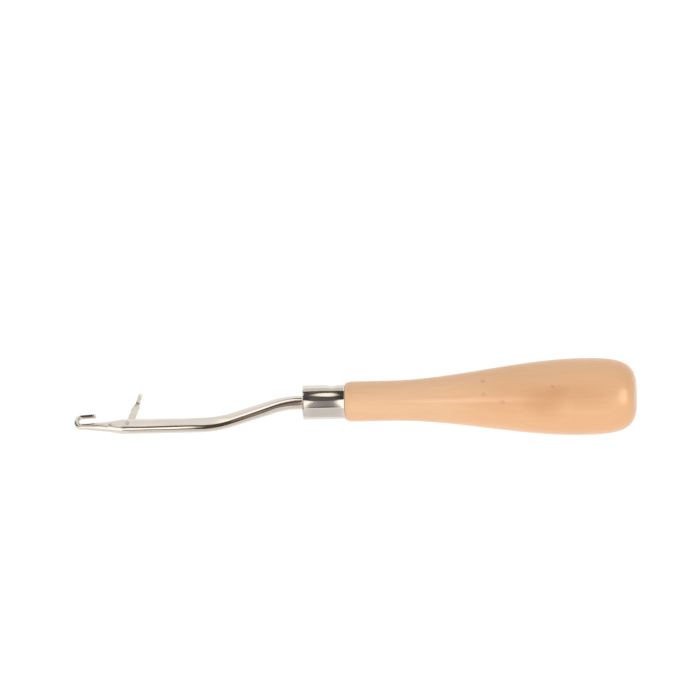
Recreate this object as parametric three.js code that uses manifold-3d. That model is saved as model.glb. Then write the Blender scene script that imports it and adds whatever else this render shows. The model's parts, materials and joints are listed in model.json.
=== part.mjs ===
// Bent latch hook with a turned wooden handle, lying on its side with the latch half open.
//
// Millimetres. The tool is built in its own frame, with X along the handle's axis from the
// handle's shoulder (0) towards the butt, Y towards the side on which the latch opens, and Z
// across the plane of the bends. At the end it is laid on a table, on its belly and its hook.

import * as THREE from 'three';
import { mergeVertices } from 'three/addons/utils/BufferGeometryUtils.js';
import Module from 'manifold-3d';

const wasm = await Module();
wasm.setup();

// Handle, a turned piece of wood
const HANDLE_LENGTH = 84.8;
const NECK_RADIUS = 5.85;
const NECK_LENGTH = 12.5;
const BELLY_RADIUS = 11.2;
const BELLY_BEFORE_BUTT = 15.8;
const BUTT_FLAT_RADIUS = 3;
const BUTT_EDGE_LENGTH = 6.1;
const BUTT_EDGE_DEPTH = 7.6;
const SHOULDER_EDGE_LENGTH = 2.2;
const SHOULDER_EDGE_DEPTH = 0.5;

// Ferrule, a drawn steel cup over the handle's tenon
const FERRULE_LENGTH = 12.5;
const FERRULE_RADIUS = 5.03;
const FERRULE_WALL = 0.45;
const FERRULE_EDGE_RADIUS = 1.2;

// Shaft, one bent and forged steel wire: the tang sits in the handle, the hook is its other end
const WIRE_RADIUS = 2;
const TANG_LENGTH = 35;
const UPPER_BEND_AHEAD_OF_FERRULE = 5.3;
const UPPER_BEND_RADIUS = 24.5;
const BEND_RUN = 20.4;
const BEND_DROP = 6.08;
const LOWER_BEND_RADIUS = 31;
const STEM_LENGTH = 27.3;
const STEM_HEIGHT = 4.1;
const STEM_WIDTH = 3.9;
const CHEEK_SQUARENESS = 9;
const SHOULDER_SQUARENESS = 4;
const ROUND_SQUARENESS = 2;
const SHOULDER_TAPER_LENGTH = 4.1;
const SHOULDER_TAPER_RADIUS = 1.46;
const NOSE_LENGTH = 10.6;
const NOSE_RADIUS = 0.93;
const NOSE_RISE = 0.42;
const RISE_RADIUS = 30;

// Hook at the end of the shaft
const HOOK_BACK_AHEAD_OF_TAPER = 13.35;
const HOOK_BACK_RADIUS = 0.85;
const HOOK_BACK_HALF_WIDTH = 0.76;
const HOOK_CORNER_BEND = 1.1;
const HOOK_BACK_STRAIGHT = 0.05;
const HOOK_HEIGHT = 2.69;
const ARM_LENGTH = 5.1;
const ARM_RISE = 0.28;
const ARM_RADIUS = 0.59;
const BALL_RADIUS = 0.685;

// Pivot of the latch, and the slot that it lies in
const PIVOT_BEHIND_TAPER = 1.65;
const PIVOT_BELOW_CHEEK_TOP = 1.04;
const RIVET_RADIUS = 0.5;
const SLOT_DEPTH = 2.6;
const SLOT_BEHIND_PIVOT = 9.5;
const SLOT_AHEAD_OF_PIVOT = 5.4;
const SLOT_FLOOR_AHEAD_OF_PIVOT = 1.4;
const SLOT_CUTTER_RADIUS = 6;

// Latch, a stamped blade with an eye at one end and a small spoon at the other
const BLADE_THICKNESS = 0.9;
const BLADE_HEIGHT = 1.96;
const BLADE_BEHIND_PIVOT = 0.32;
const NECK_FROM_PIVOT = 6.3;
const NECK_STEP_LENGTH = 0.65;
const NECK_HEIGHT = 1.12;
const SPOON_PAST_HOOK_TIP = 0.2;
const SPOON_LEAN = 6.7;
const SPOON_DEPTH = 1.12;
const SPOON_WIDTH = 1.5;
const SPOON_NECK_LENGTH = 1.1;
const SPOON_HOLLOW_DEPTH = 0.5;
const SPOON_RIM = 0.16;
const LATCH_REST_ANGLE = 65.5;

// Roll of the tool about the handle's axis as it lies, with the bends' side raised
const LYING_ROLL = 9.5;

// Clearances between pieces
const TENON_CLEARANCE = 0.08;
const TENON_END_GAP = 0.3;
const FERRULE_SHOULDER_GAP = 0.3;
const WIRE_CLEARANCE = 0.08;
const TANG_END_GAP = 0.5;
const BLADE_SIDE_CLEARANCE = 0.1;
const RIVET_SEAT_CLEARANCE = 0.04;
const EYE_CLEARANCE = 0.06;

// Facets
const TURNED_SIDES = 40;
const WIRE_SIDES = 20;
const ROUND_SIDES = 24;
const SWELL_STEPS = 14;
const HANDLE_CURVE_STEPS = 10;
const FERRULE_CURVE_STEPS = 3;
const BEND_STEP = THREE.MathUtils.degToRad(7.5);
const LEAST_RING_SPACING = 0.05;

// Places worked out from the sizes
const boreRadius = WIRE_RADIUS + WIRE_CLEARANCE;
const ferruleFace = -FERRULE_LENGTH;
const upperBend = new THREE.Vector2(ferruleFace - UPPER_BEND_AHEAD_OF_FERRULE, 0);
const lowerBend = new THREE.Vector2(upperBend.x - BEND_RUN, -BEND_DROP);
const taperStart = new THREE.Vector2(lowerBend.x - STEM_LENGTH, lowerBend.y);
const hookCorner = new THREE.Vector2(taperStart.x - HOOK_BACK_AHEAD_OF_TAPER, taperStart.y + NOSE_RISE);
const hookCrown = new THREE.Vector2(hookCorner.x, hookCorner.y + HOOK_HEIGHT);
const hookTip = new THREE.Vector2(hookCrown.x + ARM_LENGTH, hookCrown.y + ARM_RISE);
const cheekTop = lowerBend.y + STEM_HEIGHT / 2;
const pivot = new THREE.Vector2(taperStart.x + PIVOT_BEHIND_TAPER, cheekTop - PIVOT_BELOW_CHEEK_TOP);

// Material of one piece, with the colour seen on it
function finish(color, roughness, metalness) {
  return new THREE.MeshStandardMaterial({ color, roughness, metalness });
}

// Named mesh of one piece
function piece(name, geometry, material) {
  geometry.computeVertexNormals();
  const mesh = new THREE.Mesh(geometry, material);
  mesh.name = name;
  return mesh;
}

// Solid of a closed geometry, ready to be joined or cut
function solidOf(geometry) {
  geometry.deleteAttribute('normal');
  geometry.deleteAttribute('uv');
  const merged = mergeVertices(geometry, 1e-5);
  return new wasm.Manifold(new wasm.Mesh({
    numProp: 3,
    vertProperties: Float32Array.from(merged.attributes.position.array),
    triVerts: Uint32Array.from(merged.index.array),
  }));
}

// Geometry of a joined or cut solid
function geometryOf(solid) {
  const mesh = solid.getMesh();
  const geometry = new THREE.BufferGeometry();
  geometry.setAttribute('position', new THREE.BufferAttribute(Float32Array.from(mesh.vertProperties), 3));
  geometry.setIndex(Array.from(mesh.triVerts));
  return geometry;
}

// Solid of revolution about X from a profile of (x, radius) points
function turned(profile) {
  const points = profile.map((point) => new THREE.Vector2(Math.max(point.y, 0), point.x));
  return new THREE.LatheGeometry(points, TURNED_SIDES).rotateZ(-Math.PI / 2);
}

// Plate of an XY outline, with its thickness centred on the plane of the bends
function plate(outline, thickness) {
  const settings = { depth: thickness, bevelEnabled: false, curveSegments: ROUND_SIDES / 2 };
  return new THREE.ExtrudeGeometry(outline, settings).translate(0, 0, -thickness / 2);
}

// Round bar across the plane of the bends
function crossBar(radius, length, centre) {
  const bar = new THREE.CylinderGeometry(radius, radius, length, ROUND_SIDES).rotateX(Math.PI / 2);
  return bar.translate(centre.x, centre.y, 0);
}

// Profile of the handle behind its shoulder: neck, swell, belly and rounded butt
function handleOutline() {
  const belly = HANDLE_LENGTH - BELLY_BEFORE_BUTT;
  const outline = new THREE.Path();
  outline.moveTo(0, NECK_RADIUS - SHOULDER_EDGE_DEPTH);
  outline.quadraticCurveTo(
    SHOULDER_EDGE_LENGTH / 3, NECK_RADIUS,
    SHOULDER_EDGE_LENGTH, NECK_RADIUS,
  );
  for (let i = 0; i <= SWELL_STEPS; i += 1) {
    const x = THREE.MathUtils.lerp(NECK_LENGTH, belly, i / SWELL_STEPS);
    const share = THREE.MathUtils.smoothstep(x, NECK_LENGTH, belly);
    outline.lineTo(x, THREE.MathUtils.lerp(NECK_RADIUS, BELLY_RADIUS, share));
  }
  outline.bezierCurveTo(
    HANDLE_LENGTH - BUTT_EDGE_LENGTH, BELLY_RADIUS,
    HANDLE_LENGTH, BUTT_FLAT_RADIUS + BUTT_EDGE_DEPTH,
    HANDLE_LENGTH, BUTT_FLAT_RADIUS,
  );
  return outline.getPoints(HANDLE_CURVE_STEPS);
}

// Handle with its tenon and the blind bore for the tang
function handle() {
  const tenonRadius = FERRULE_RADIUS - FERRULE_WALL - TENON_CLEARANCE;
  const tenonFace = ferruleFace + FERRULE_WALL + TENON_END_GAP;
  const edge = FERRULE_EDGE_RADIUS - FERRULE_WALL;
  const boreEnd = TANG_LENGTH + TANG_END_GAP;
  const profile = [
    new THREE.Vector2(boreEnd, 0),
    new THREE.Vector2(boreEnd, boreRadius),
    new THREE.Vector2(tenonFace, boreRadius),
    new THREE.Vector2(tenonFace, tenonRadius - edge),
    new THREE.Vector2(tenonFace + edge, tenonRadius),
    new THREE.Vector2(0, tenonRadius),
    ...handleOutline(),
    new THREE.Vector2(HANDLE_LENGTH, 0),
  ];
  return piece('handle', turned(profile), finish(0xecbd90, 0.42, 0));
}

// Ferrule: a cup with a rounded front edge and a hole for the shaft
function ferrule() {
  const innerRadius = FERRULE_RADIUS - FERRULE_WALL;
  const innerEdge = FERRULE_EDGE_RADIUS - FERRULE_WALL;
  const edgeCentre = new THREE.Vector2(ferruleFace, FERRULE_RADIUS);
  edgeCentre.add(new THREE.Vector2(FERRULE_EDGE_RADIUS, -FERRULE_EDGE_RADIUS));
  const outline = new THREE.Path();
  outline.moveTo(ferruleFace, boreRadius);
  outline.lineTo(ferruleFace, edgeCentre.y);
  outline.absarc(edgeCentre.x, edgeCentre.y, FERRULE_EDGE_RADIUS, Math.PI, Math.PI / 2, true);
  outline.lineTo(-FERRULE_SHOULDER_GAP, FERRULE_RADIUS);
  outline.lineTo(-FERRULE_SHOULDER_GAP, innerRadius);
  outline.lineTo(edgeCentre.x, innerRadius);
  outline.absarc(edgeCentre.x, edgeCentre.y, innerEdge, Math.PI / 2, Math.PI, false);
  outline.lineTo(ferruleFace + FERRULE_WALL, boreRadius);
  outline.lineTo(ferruleFace, boreRadius);
  return piece('ferrule', turned(outline.getPoints(FERRULE_CURVE_STEPS)), finish(0xc9c2b8, 0.18, 1));
}

// Centre line of the shaft from the tang's end to the hook's tip: straights joined by an arc at
// each corner
function shaftSpine() {
  const corners = [
    [upperBend, UPPER_BEND_RADIUS],
    [lowerBend, LOWER_BEND_RADIUS],
    [taperStart, RISE_RADIUS],
    [hookCorner, HOOK_CORNER_BEND],
    [hookCrown, HOOK_HEIGHT - HOOK_BACK_STRAIGHT - HOOK_CORNER_BEND],
  ];
  const targets = [...corners.slice(1).map(([corner]) => corner), hookTip];
  const spine = new THREE.CurvePath();
  let end = new THREE.Vector2(TANG_LENGTH, 0);
  corners.forEach(([corner, radius], i) => {
    const inward = corner.clone().sub(end).normalize();
    const onward = targets[i].clone().sub(corner).normalize();
    const turn = Math.atan2(inward.cross(onward), inward.dot(onward));
    const start = corner.clone().addScaledVector(inward, -radius * Math.tan(Math.abs(turn) / 2));
    const left = new THREE.Vector2(-inward.y, inward.x);
    const centre = start.clone().addScaledVector(left, radius * Math.sign(turn));
    const from = Math.atan2(start.y - centre.y, start.x - centre.x);
    const arc = new THREE.EllipseCurve(centre.x, centre.y, radius, radius, from, from + turn, turn < 0);
    spine.add(new THREE.LineCurve(end, start));
    spine.add(arc);
    end = arc.getPoint(1);
  });
  spine.add(new THREE.LineCurve(end, hookTip));
  return spine;
}

// Sections of the shaft at their distances along the spine. A section has a half height in the
// plane of the bends, a half width across it, and a squareness of its upper half.
function shaftSections(lengths) {
  const [, , inclineEnd, stemStart, stemEnd, riseEnd, noseEnd, cornerEnd, , crownEnd, tip] = lengths;
  const wire = [WIRE_RADIUS, WIRE_RADIUS, ROUND_SQUARENESS];
  const stem = [STEM_HEIGHT / 2, STEM_WIDTH / 2, CHEEK_SQUARENESS];
  const shoulder = [SHOULDER_TAPER_RADIUS, SHOULDER_TAPER_RADIUS, SHOULDER_SQUARENESS];
  const nose = [NOSE_RADIUS, NOSE_RADIUS, ROUND_SQUARENESS];
  const back = [HOOK_BACK_RADIUS, HOOK_BACK_HALF_WIDTH, ROUND_SQUARENESS];
  const arm = [ARM_RADIUS, ARM_RADIUS, ROUND_SQUARENESS];
  const taper = (stemEnd + riseEnd) / 2;
  return [
    [0, wire],
    [inclineEnd, wire],
    [stemStart, stem],
    [taper, stem],
    [taper + SHOULDER_TAPER_LENGTH, shoulder],
    [taper + NOSE_LENGTH, nose],
    [Math.max(noseEnd, taper + NOSE_LENGTH) + HOOK_CORNER_BEND / 2, back],
    [cornerEnd, back],
    [crownEnd, arm],
    [tip, arm],
  ];
}

// Section of the shaft at a distance, between the two sections on either side of it
function sectionAt(sections, distance) {
  const next = Math.max(1, sections.findIndex(([at]) => at >= distance));
  const [[low, before], [high, after]] = [sections[next - 1], sections[next]];
  const share = THREE.MathUtils.clamp((distance - low) / (high - low), 0, 1);
  return before.map((value, i) => THREE.MathUtils.lerp(value, after[i], share));
}

// Distances along the spine that get a ring: each bend is stepped, and each section has its own
function ringDistances(spine, sections) {
  const distances = sections.map(([at]) => at);
  let start = 0;
  for (const curve of spine.curves) {
    const length = curve.getLength();
    const steps = curve.isEllipseCurve ? Math.ceil(length / curve.xRadius / BEND_STEP) : 1;
    for (let i = 0; i <= steps; i += 1) {
      distances.push(start + (length * i) / steps);
    }
    start += length;
  }
  distances.sort((a, b) => a - b);
  return distances.filter((at, i) => i === 0 || at - distances[i - 1] > LEAST_RING_SPACING);
}

// Shaft before its slot is cut: rings of one section each along the spine, closed at both ends
function shaftBar() {
  const spine = shaftSpine();
  const lengths = spine.getCurveLengths();
  const total = lengths[lengths.length - 1];
  const sections = shaftSections(lengths);
  const rings = ringDistances(spine, sections);
  const positions = [];
  const faces = [];
  for (const distance of rings) {
    const centre = spine.getPoint(distance / total);
    const along = spine.getTangent(distance / total);
    const [halfHeight, halfWidth, squareness] = sectionAt(sections, distance);
    for (let i = 0; i < WIRE_SIDES; i += 1) {
      const angle = (2 * Math.PI * i) / WIRE_SIDES;
      const power = Math.sin(angle) > 0 ? 2 / squareness : 1;
      const across = halfWidth * Math.sign(Math.cos(angle)) * Math.abs(Math.cos(angle)) ** power;
      const up = halfHeight * Math.sign(Math.sin(angle)) * Math.abs(Math.sin(angle)) ** power;
      positions.push(centre.x + along.y * up, centre.y - along.x * up, across);
    }
  }
  const last = rings.length - 1;
  for (let ring = 0; ring < last; ring += 1) {
    for (let i = 0; i < WIRE_SIDES; i += 1) {
      const a = ring * WIRE_SIDES + i;
      const b = ring * WIRE_SIDES + ((i + 1) % WIRE_SIDES);
      faces.push(a, b, a + WIRE_SIDES, b, b + WIRE_SIDES, a + WIRE_SIDES);
    }
  }
  for (let i = 1; i < WIRE_SIDES - 1; i += 1) {
    faces.push(0, i + 1, i);
    faces.push(last * WIRE_SIDES, last * WIRE_SIDES + i, last * WIRE_SIDES + i + 1);
  }
  const bar = new THREE.BufferGeometry();
  bar.setAttribute('position', new THREE.Float32BufferAttribute(positions, 3));
  bar.setIndex(faces);
  return bar;
}

// Slot outline: a ramp at the front, a flat floor under the pivot, and a cutter's arc at the back
function slotOutline() {
  const above = cheekTop + STEM_HEIGHT;
  const floor = cheekTop - SLOT_DEPTH;
  const back = pivot.x + SLOT_BEHIND_PIVOT;
  const rise = Math.acos(1 - SLOT_DEPTH / SLOT_CUTTER_RADIUS);
  const arcStart = back - SLOT_CUTTER_RADIUS * Math.sin(rise);
  const centre = floor + SLOT_CUTTER_RADIUS;
  const outline = new THREE.Shape();
  outline.moveTo(pivot.x - SLOT_AHEAD_OF_PIVOT, above);
  outline.lineTo(pivot.x - SLOT_AHEAD_OF_PIVOT, cheekTop);
  outline.lineTo(pivot.x - SLOT_FLOOR_AHEAD_OF_PIVOT, floor);
  outline.lineTo(arcStart, floor);
  outline.absarc(arcStart, centre, SLOT_CUTTER_RADIUS, -Math.PI / 2, rise - Math.PI / 2, false);
  outline.lineTo(back, above);
  return outline;
}

// Shaft: the bar with a ball at its tip, the latch's slot and the hole for the rivet
function hookShaft() {
  const ball = new THREE.SphereGeometry(BALL_RADIUS, ROUND_SIDES / 2, ROUND_SIDES / 2);
  const slot = plate(slotOutline(), BLADE_THICKNESS + 2 * BLADE_SIDE_CLEARANCE);
  const hole = crossBar(RIVET_RADIUS + RIVET_SEAT_CLEARANCE, 2 * STEM_WIDTH, pivot);
  const shaft = solidOf(shaftBar())
    .add(solidOf(ball.translate(hookTip.x, hookTip.y, 0)))
    .subtract(solidOf(slot))
    .subtract(solidOf(hole));
  return piece('hook_shaft', geometryOf(shaft), finish(0xbdb5ab, 0.2, 1));
}

// Rivet through both cheeks and the latch's eye
function rivet() {
  return piece('latch_rivet', crossBar(RIVET_RADIUS, STEM_WIDTH, pivot), finish(0xb5ada2, 0.3, 1));
}

// Side outline of the latch's blade along X, round at its eye and stepped in at the neck
function bladeOutline() {
  const half = BLADE_HEIGHT / 2;
  const neck = NECK_HEIGHT / 2;
  const outline = new THREE.Shape();
  outline.absarc(0, 0, half, Math.PI / 2, 1.5 * Math.PI, false);
  outline.lineTo(NECK_FROM_PIVOT - NECK_STEP_LENGTH, -half);
  outline.lineTo(NECK_FROM_PIVOT, -neck);
  outline.lineTo(NECK_FROM_PIVOT + NECK_STEP_LENGTH, -neck);
  outline.lineTo(NECK_FROM_PIVOT + NECK_STEP_LENGTH, neck);
  outline.lineTo(NECK_FROM_PIVOT, neck);
  outline.lineTo(NECK_FROM_PIVOT - 2 * NECK_STEP_LENGTH, half);
  return outline;
}

// Outline of the spoon seen square on: narrow at the neck, blunt and rounded at the tip
function spoonOutline(length) {
  const neck = BLADE_THICKNESS / 2;
  const half = SPOON_WIDTH / 2;
  const outline = new THREE.Shape();
  outline.moveTo(0, -neck);
  outline.quadraticCurveTo(SPOON_NECK_LENGTH / 2, -half, SPOON_NECK_LENGTH, -half);
  outline.lineTo(length - half, -half);
  outline.quadraticCurveTo(length, -half, length, 0);
  outline.quadraticCurveTo(length, half, length - half, half);
  outline.lineTo(SPOON_NECK_LENGTH, half);
  outline.quadraticCurveTo(SPOON_NECK_LENGTH / 2, half, 0, neck);
  return outline;
}

// Latch lying along X from its pivot on the origin, with the spoon hollowed on the hook's side
function latchSolid() {
  const reach = pivot.distanceTo(hookTip) - BALL_RADIUS + SPOON_PAST_HOOK_TIP;
  const length = reach - NECK_FROM_PIVOT;
  const hollowLength = (length - SPOON_NECK_LENGTH) / 2;
  const hollowWidth = SPOON_WIDTH / 2 - SPOON_RIM;
  const blade = plate(bladeOutline(), BLADE_THICKNESS);
  const eye = crossBar(RIVET_RADIUS + EYE_CLEARANCE, 2 * BLADE_THICKNESS, new THREE.Vector2());
  const spoon = plate(spoonOutline(length), SPOON_DEPTH).rotateX(-Math.PI / 2);
  const hollow = new THREE.SphereGeometry(1, ROUND_SIDES / 2, ROUND_SIDES / 2);
  hollow.scale(hollowLength, SPOON_HOLLOW_DEPTH, hollowWidth);
  hollow.translate(length - hollowLength - SPOON_RIM, SPOON_DEPTH / 2, 0);
  for (const shape of [spoon, hollow]) {
    shape.rotateZ(THREE.MathUtils.degToRad(SPOON_LEAN));
    shape.translate(NECK_FROM_PIVOT, 0, 0);
  }
  const stamping = solidOf(blade).add(solidOf(spoon)).subtract(solidOf(hollow));
  return stamping.translate([0, -BLADE_BEHIND_PIVOT, 0]).subtract(solidOf(eye));
}

// Latch on its pivot, at the angle from the handle's direction at which it rests
function latch() {
  const mesh = piece('latch', geometryOf(latchSolid()), finish(0xd8cfc4, 0.25, 1));
  mesh.position.set(pivot.x, pivot.y, 0);
  mesh.rotation.z = THREE.MathUtils.degToRad(LATCH_REST_ANGLE);
  return mesh;
}

// Lays the tool on the table plane, rolled about the handle's axis. The pitch is that of the
// line from under the back of the hook that just clears the ferrule and touches the belly.
function layDown(tool) {
  const roll = THREE.MathUtils.degToRad(LYING_ROLL);
  const backLift = -((hookCorner.y + hookCrown.y) / 2) * Math.sin(roll);
  const back = new THREE.Vector2(hookCorner.x, HOOK_BACK_HALF_WIDTH - backLift);
  const rim = new THREE.Vector2(ferruleFace + FERRULE_EDGE_RADIUS, FERRULE_RADIUS);
  const slopes = [rim, ...handleOutline()].map((point) => (point.y - back.y) / (point.x - back.x));
  tool.rotation.set(-roll, -Math.atan(Math.max(...slopes)), 0, 'YXZ');
  const box = new THREE.Box3().setFromObject(tool, true);
  const centre = box.getCenter(new THREE.Vector3());
  tool.position.set(-centre.x, -centre.y, -box.min.z);
}

const tool = new THREE.Group();
tool.add(handle(), ferrule(), hookShaft(), rivet(), latch());
layDown(tool);

const part = new THREE.Group();
part.add(tool);

export default part;
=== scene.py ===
"""Looks of a bent latch hook that lies on a white table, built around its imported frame.

Sizes are in millimetres, in the tool's own frame: X runs along the handle's axis from the handle's
shoulder (0) towards the butt, Y towards the side on which the latch opens, and Z across the plane
of the bends. Each finished piece is laid into the row frame, which is in metres.
"""

import json
import logging
import math
from collections.abc import Callable, Mapping, Sequence
from dataclasses import dataclass, field
from enum import Enum
from typing import Any

import bmesh
import bpy
from bmesh.types import BMesh
from mathutils import Matrix, Vector


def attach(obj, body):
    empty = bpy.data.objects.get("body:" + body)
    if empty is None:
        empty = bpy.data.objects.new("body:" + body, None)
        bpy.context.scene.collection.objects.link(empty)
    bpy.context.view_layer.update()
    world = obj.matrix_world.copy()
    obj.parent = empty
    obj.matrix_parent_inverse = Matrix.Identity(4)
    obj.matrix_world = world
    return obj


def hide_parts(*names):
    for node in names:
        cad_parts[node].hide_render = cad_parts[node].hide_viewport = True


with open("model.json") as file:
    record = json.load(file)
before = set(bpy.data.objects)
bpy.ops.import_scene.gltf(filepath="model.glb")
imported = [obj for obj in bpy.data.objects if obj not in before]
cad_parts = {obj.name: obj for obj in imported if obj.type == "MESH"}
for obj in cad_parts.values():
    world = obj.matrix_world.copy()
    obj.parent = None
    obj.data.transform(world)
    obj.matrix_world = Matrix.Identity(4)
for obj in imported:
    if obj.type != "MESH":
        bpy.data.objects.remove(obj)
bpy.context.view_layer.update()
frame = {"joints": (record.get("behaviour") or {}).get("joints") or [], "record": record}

log = logging.getLogger("latch_hook")

METRE = 0.001
MERGE_DISTANCE = 1e-3
CREASE_ANGLE = math.radians(32)
LEAST_TURN = 1e-9

Colour = tuple[float, float, float]
Sizes = tuple[float, float, float]


class Body(Enum):
    """Rigid bodies of the frame that pieces ride on."""

    HOOK = "hook"
    LATCH = "latch"


class Slot(Enum):
    """Material slots of the record."""

    WOOD = "varnished_wood"
    FERRULE = "ferrule_plate"
    SHAFT = "bright_steel"
    RIVET = "rivet_steel"
    LATCH = "latch_steel"


@dataclass(frozen=True)
class PieceLabel:
    """What a finished piece is called, what it stands for and what it rides on."""

    name: str
    node: str
    body: Body
    slot: Slot


@dataclass(frozen=True)
class ToolFrame:
    """Place of the tool's own frame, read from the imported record.

    Attributes:
        origin: The handle's shoulder on its axis, in metres.
        along: Direction of the handle's axis towards the butt.
        opening: Direction in which the latch opens.
        across: Direction across the plane of the bends.
    """

    origin: Vector
    along: Vector
    opening: Vector
    across: Vector

    @classmethod
    def from_record(cls, handle_length: float) -> "ToolFrame":
        """Finds the frame from the butt's mount and the latch's joint.

        Args:
            handle_length: Distance from the shoulder to the butt, in millimetres.

        Returns:
            The tool's frame.
        """
        mount = next(m for m in frame["record"]["mounts"] if m["name"] == "butt_end")
        joint = next(j for j in frame["joints"] if j["name"] == "latch_pivot")
        along = Vector(mount["axis"]).normalized()
        across = Vector(joint["axis"]).normalized()
        opening = across.cross(along).normalized()
        origin = Vector(mount["pos_m"]) - along * handle_length * METRE
        return cls(origin, along, opening, across)

    def turn(self) -> Matrix:
        """Returns the rotation from the tool's frame to the row frame."""
        return Matrix((self.along, self.opening, self.across)).transposed().to_4x4()

    def matrix(self) -> Matrix:
        """Returns the whole move from the tool's frame in millimetres to the row frame."""
        return Matrix.Translation(self.origin) @ self.turn() @ Matrix.Scale(METRE, 4)


def smooth_share(value: float, low: float, high: float) -> float:
    """Returns 0 below low, 1 above high and a smooth step between them."""
    share = min(max((value - low) / (high - low), 0.0), 1.0)
    return share * share * (3 - 2 * share)


def mixed(low: float, high: float, share: float) -> float:
    """Returns the value at a share of the way from low to high."""
    return low + (high - low) * share


def arc_points(centre: Vector, radius: float, start: float, end: float, steps: int) -> list[Vector]:
    """Points of an arc in a profile.

    Args:
        centre: Centre of the arc.
        radius: Radius of the arc.
        start: Angle of the first point, in degrees.
        end: Angle of the last point, in degrees.
        steps: Number of stretches between points.

    Returns:
        The points from start to end.
    """
    angles = [math.radians(mixed(start, end, i / steps)) for i in range(steps + 1)]
    return [centre + radius * Vector((math.cos(a), math.sin(a))) for a in angles]


def curve_points(corners: Sequence[Vector], steps: int) -> list[Vector]:
    """Points of a Bezier curve in a profile.

    Args:
        corners: Its control points.
        steps: Number of stretches between points.

    Returns:
        The points from the first corner to the last.
    """
    degree = len(corners) - 1
    points = []
    for i in range(steps + 1):
        t = i / steps
        weights = [math.comb(degree, k) * (1 - t) ** (degree - k) * t**k for k in range(degree + 1)]
        points.append(sum((w * p for w, p in zip(weights, corners)), Vector((0, 0))))
    return points


def turned(profile: Sequence[Vector], sides: int) -> BMesh:
    """Spins a profile of (x, radius) points once round the X axis.

    Args:
        profile: Points from end to end. It starts and ends on the axis, or closes on itself.
        sides: Number of steps in the full turn.

    Returns:
        The closed body, with its faces outwards.
    """
    mesh = bmesh.new()
    verts = [mesh.verts.new((point.x, point.y, 0)) for point in profile]
    edges = [mesh.edges.new(pair) for pair in zip(verts, verts[1:])]
    bmesh.ops.spin(
        mesh,
        geom=verts + edges,
        cent=(0, 0, 0),
        axis=(1, 0, 0),
        dvec=(0, 0, 0),
        angle=math.tau,
        steps=sides,
        use_merge=True,
        use_normal_flip=False,
        use_duplicate=False,
    )
    bmesh.ops.remove_doubles(mesh, verts=mesh.verts, dist=MERGE_DISTANCE)
    bmesh.ops.recalc_face_normals(mesh, faces=mesh.faces)
    return mesh


def swept(rings: Sequence[Sequence[Vector]]) -> BMesh:
    """Extrudes the first ring from place to place and closes both ends.

    Args:
        rings: Rings of equally many points, in order along the sweep.

    Returns:
        The closed body, with its faces outwards.
    """
    mesh = bmesh.new()
    verts = bmesh.ops.create_circle(mesh, cap_ends=False, radius=1, segments=len(rings[0]))["verts"]
    edges = list(mesh.edges)
    for vert, place in zip(verts, rings[0]):
        vert.co = place
    mesh.faces.new(verts)
    for ring in rings[1:]:
        made = bmesh.ops.extrude_edge_only(mesh, edges=edges)["geom"]
        fresh = {item for item in made if isinstance(item, bmesh.types.BMVert)}
        edges = [
            item
            for item in made
            if isinstance(item, bmesh.types.BMEdge) and set(item.verts) <= fresh
        ]
        verts = [
            next(e.other_vert(v) for e in v.link_edges if e.other_vert(v) in fresh) for v in verts
        ]
        for vert, place in zip(verts, ring):
            vert.co = place
    mesh.faces.new(verts)
    bmesh.ops.remove_doubles(mesh, verts=mesh.verts, dist=MERGE_DISTANCE)
    bmesh.ops.recalc_face_normals(mesh, faces=mesh.faces)
    return mesh


def drilled(mesh: BMesh, radius: float, centre: Vector, length: float, sides: int = 48) -> BMesh:
    """Cuts a round hole across the plane of the bends.

    Args:
        mesh: The body, which is freed.
        radius: Radius of the hole.
        centre: Point of the hole's axis in the plane of the bends.
        length: Length of the drill, longer than the body is wide.
        sides: Sides of the hole.

    Returns:
        The body with the hole.
    """
    drill = bmesh.new()
    bmesh.ops.create_cone(
        drill,
        cap_ends=True,
        segments=sides,
        radius1=radius,
        radius2=radius,
        depth=length,
        matrix=Matrix.Translation((centre.x, centre.y, 0)),
    )
    body, cutter = (linked_object(name, part) for name, part in (("body", mesh), ("drill", drill)))
    cut = body.modifiers.new("hole", "BOOLEAN")
    cut.operation = "DIFFERENCE"
    cut.solver = "EXACT"
    cut.object = cutter
    evaluated = body.evaluated_get(bpy.context.evaluated_depsgraph_get())
    result = bmesh.new()
    result.from_mesh(evaluated.to_mesh())
    evaluated.to_mesh_clear()
    for item in (body, cutter):
        data = item.data
        bpy.data.objects.remove(item)
        bpy.data.meshes.remove(data)
    return result


def linked_object(name: str, mesh: BMesh) -> bpy.types.Object:
    """Makes an object of a mesh and frees the mesh.

    Args:
        name: Name of the object.
        mesh: The mesh, which is freed.

    Returns:
        The object, linked to the scene.
    """
    data = bpy.data.meshes.new(name)
    mesh.to_mesh(data)
    mesh.free()
    made = bpy.data.objects.new(name, data)
    bpy.context.scene.collection.objects.link(made)
    return made


def finish_piece(
    mesh: BMesh, label: PieceLabel, tool: ToolFrame, material: bpy.types.Material
) -> bpy.types.Object:
    """Lays a piece in the row frame, dresses it and lets it ride on its body.

    Args:
        mesh: The piece in the tool's frame, which is freed.
        label: What the piece is called, stands for and rides on.
        tool: The tool's frame.
        material: The finish of the piece.

    Returns:
        The finished object.
    """
    bmesh.ops.transform(mesh, matrix=tool.matrix(), verts=mesh.verts)
    for face in mesh.faces:
        face.smooth = True
    for edge in mesh.edges:
        edge.smooth = not edge.is_manifold or edge.calc_face_angle() < CREASE_ANGLE
    made = linked_object(label.name, mesh)
    made.data.materials.append(material)
    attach(made, label.body.value)
    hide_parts(label.node)
    log.info("%s: %d faces, rides on %s", label.name, len(made.data.polygons), label.body.value)
    return made


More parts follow.
